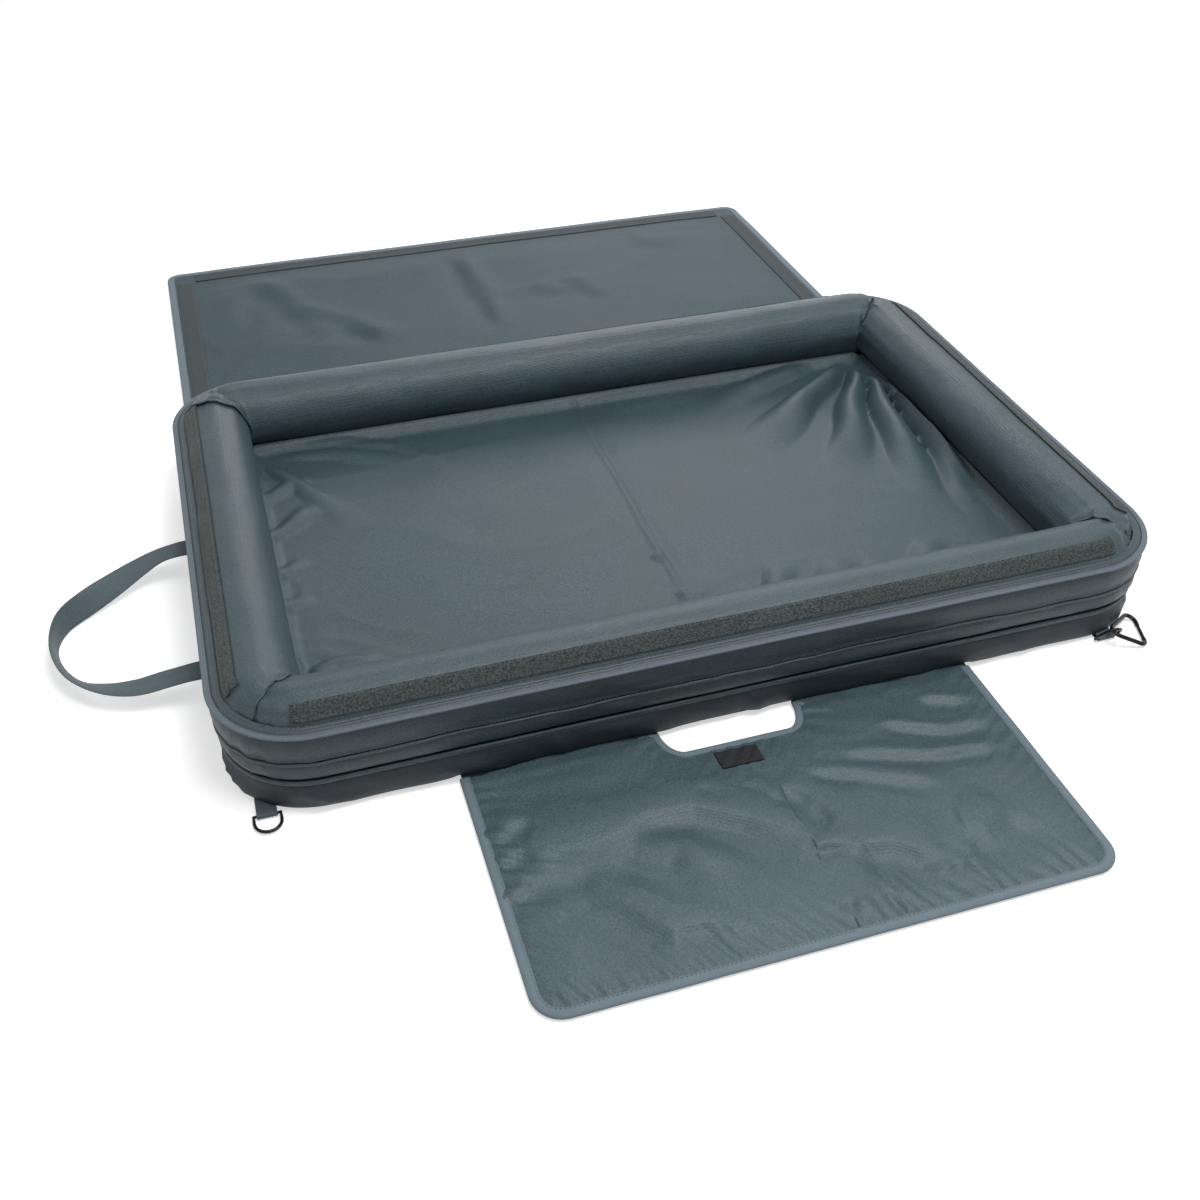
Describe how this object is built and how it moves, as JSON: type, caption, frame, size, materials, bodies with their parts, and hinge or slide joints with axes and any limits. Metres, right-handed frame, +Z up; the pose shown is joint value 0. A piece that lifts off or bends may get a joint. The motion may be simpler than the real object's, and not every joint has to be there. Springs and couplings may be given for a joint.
{
  "type": "unhooking mat",
  "caption": "Padded fish unhooking mat: foam bolster rim round a soft floor, fold line, thrown-back cover flap, kneeling mat, webbing handles and pegging rings with a carabiner.",
  "frame": {"origin": "on the floor under the middle of the open mat, on its flat underside", "axes": "+X along the mat's length, +Y towards the cover flap, away from the kneeling mat, +Z up"},
  "size_m": [1.3728, 1.585, 0.1244],
  "materials": {
    "coated_cloth": "PU-coated nylon, dark slate green, soft sheen",
    "skirt_cloth": "darker coated cloth, matt",
    "binding_tape": "woven tape, blue-grey, matt",
    "loop_pile": "loop pile, speckled, matt",
    "hook_strip": "hook tape, matt",
    "webbing": "woven webbing, matt",
    "foam": "open-cell foam, hidden",
    "black_metal": "black coated metal, satin",
    "bare_label": "bare black woven patch, matt"
  },
  "bodies": {
    "left_half": {"base_shell_left": "skirt_cloth", "base_foam_left": "foam", "floor_liner_left": "coated_cloth", "piping_left": "coated_cloth", "side_panel_left": "coated_cloth", "rim_binding_left": "binding_tape", "bolster_sleeve_end_left": "coated_cloth", "bolster_sleeve_front_left": "coated_cloth", "bolster_sleeve_rear_left": "coated_cloth", "bolster_foam_end_left": "foam", "bolster_foam_front_left": "foam", "bolster_foam_rear_left": "foam", "loop_strip_end_left": "loop_pile", "loop_strip_front_left": "loop_pile", "ring_tab_front_left": "webbing", "ring_tab_rear_left": "webbing"},
    "right_half": {"base_shell_right": "skirt_cloth", "base_foam_right": "foam", "floor_liner_right": "coated_cloth", "piping_right": "coated_cloth", "side_panel_right": "coated_cloth", "rim_binding_right": "binding_tape", "bolster_sleeve_end_right": "coated_cloth", "bolster_sleeve_front_right": "coated_cloth", "bolster_sleeve_rear_right": "coated_cloth", "bolster_foam_end_right": "foam", "bolster_foam_front_right": "foam", "bolster_foam_rear_right": "foam", "loop_strip_end_right": "loop_pile", "loop_strip_front_right": "loop_pile", "ring_tab_front_right": "webbing", "ring_tab_rear_right": "webbing"},
    "cover_drop_left": {"cover_drop_left": "coated_cloth"},
    "cover_panel_left": {"cover_panel_left": "coated_cloth", "cover_binding_left": "binding_tape", "hook_strip_far_left": "hook_strip", "hook_strip_side_left": "hook_strip"},
    "kneel_lower_left": {"kneel_lower_left": "coated_cloth", "label_patch": "bare_label"},
    "kneel_upper_left": {"kneel_upper_left": "coated_cloth", "kneel_binding_left": "binding_tape"},
    "handle_left": {"handle_left": "webbing"},
    "ring_front_left": {"ring_front_left": "black_metal"},
    "ring_rear_left": {"ring_rear_left": "black_metal"},
    "cover_drop_right": {"cover_drop_right": "coated_cloth"},
    "cover_panel_right": {"cover_panel_right": "coated_cloth", "cover_binding_right": "binding_tape", "hook_strip_far_right": "hook_strip", "hook_strip_side_right": "hook_strip"},
    "kneel_lower_right": {"kneel_lower_right": "coated_cloth"},
    "kneel_upper_right": {"kneel_upper_right": "coated_cloth", "kneel_binding_right": "binding_tape"},
    "handle_right": {"handle_right": "webbing"},
    "ring_front_right": {"ring_front_right": "black_metal"},
    "ring_rear_right": {"ring_rear_right": "black_metal"},
    "carabiner": {"carabiner_body": "black_metal", "carabiner_pin": "black_metal"},
    "carabiner_gate": {"carabiner_gate": "black_metal"}
  },
  "joints": [
    {"name": "mat_fold", "type": "hinge", "parent": "left_half", "child": "right_half", "pos_m": [0.0032, 0, 0.15134], "axis": [0, -1, 0], "range_deg": [0, 180]},
    {"name": "cover_drop_turn_left", "type": "hinge", "parent": "left_half", "child": "cover_drop_left", "pos_m": [0.003, 0.3522, 0.1065], "axis": [1, 0, 0], "range_deg": [0, 245.5]},
    {"name": "cover_panel_turn_left", "type": "hinge", "parent": "cover_drop_left", "child": "cover_panel_left", "pos_m": [0.003, 0.3522, 0.002], "axis": [1, 0, 0], "range_deg": [-63.36, 0]},
    {"name": "kneel_lower_turn_left", "type": "hinge", "parent": "left_half", "child": "kneel_lower_left", "pos_m": [0.003, -0.3525, 0.0135], "axis": [-1, 0, 0], "range_deg": [0, 90]},
    {"name": "kneel_upper_turn_left", "type": "hinge", "parent": "kneel_lower_left", "child": "kneel_upper_left", "pos_m": [0.003, -0.475, 0.0135], "axis": [-1, 0, 0], "range_deg": [0, 90]},
    {"name": "cover_drop_turn_right", "type": "hinge", "parent": "right_half", "child": "cover_drop_right", "pos_m": [0.0034, 0.3522, 0.1065], "axis": [1, 0, 0], "range_deg": [0, 245.5]},
    {"name": "cover_panel_turn_right", "type": "hinge", "parent": "cover_drop_right", "child": "cover_panel_right", "pos_m": [0.0034, 0.3522, 0.002], "axis": [1, 0, 0], "range_deg": [-63.36, 0]},
    {"name": "kneel_lower_turn_right", "type": "hinge", "parent": "right_half", "child": "kneel_lower_right", "pos_m": [0.0034, -0.3525, 0.0135], "axis": [-1, 0, 0], "range_deg": [0, 90]},
    {"name": "kneel_upper_turn_right", "type": "hinge", "parent": "kneel_lower_right", "child": "kneel_upper_right", "pos_m": [0.0034, -0.475, 0.0135], "axis": [-1, 0, 0], "range_deg": [0, 90]},
    {"name": "handle_turn_left", "type": "hinge", "parent": "left_half", "child": "handle_left", "pos_m": [-0.5214, 0, 0.0398], "axis": [0, 1, 0], "range_deg": [0, 42]},
    {"name": "handle_turn_right", "type": "hinge", "parent": "right_half", "child": "handle_right", "pos_m": [0.5214, 0, 0.0398], "axis": [0, -1, 0], "range_deg": [0, 42]},
    {"name": "ring_turn_front_left", "type": "hinge", "parent": "left_half", "child": "ring_front_left", "pos_m": [-0.488, -0.33832, 0.0033], "axis": [-1, 0, 0], "range_deg": [0, 90]},
    {"name": "ring_turn_front_right", "type": "hinge", "parent": "right_half", "child": "ring_front_right", "pos_m": [0.452, -0.35115, 0.0033], "axis": [-1, 0, 0], "range_deg": [0, 9]},
    {"name": "ring_turn_rear_left", "type": "hinge", "parent": "left_half", "child": "ring_rear_left", "pos_m": [-0.475, 0.34494, 0.0033], "axis": [1, 0, 0], "range_deg": [0, 90]},
    {"name": "ring_turn_rear_right", "type": "hinge", "parent": "right_half", "child": "ring_rear_right", "pos_m": [0.475, 0.34494, 0.0033], "axis": [1, 0, 0], "range_deg": [0, 90]},
    {"name": "carabiner_swing", "type": "hinge", "parent": "ring_front_right", "child": "carabiner", "pos_m": [0.452, -0.36008, 0.01876], "axis": [0, -1, 0], "range_deg": [0, 18]},
    {"name": "gate_turn", "type": "hinge", "parent": "carabiner", "child": "carabiner_gate", "pos_m": [0.49997, -0.34267, 0.00292], "axis": [-0.3492, 0.1164, -0.9298], "range_deg": [0, 25], "stiffness_Nm_per_rad": 0.02, "springref_deg": -17.19}
  ],
  "couplings": [
    {"joint": "cover_drop_turn_left", "follows": "cover_panel_turn_left", "ratio": -3.8746},
    {"joint": "kneel_upper_turn_left", "follows": "kneel_lower_turn_left", "ratio": 1},
    {"joint": "cover_panel_turn_right", "follows": "cover_panel_turn_left", "ratio": 1},
    {"joint": "kneel_lower_turn_right", "follows": "kneel_lower_turn_left", "ratio": 1},
    {"joint": "cover_drop_turn_right", "follows": "cover_panel_turn_left", "ratio": -3.8746},
    {"joint": "kneel_upper_turn_right", "follows": "kneel_lower_turn_left", "ratio": 1}
  ]
}
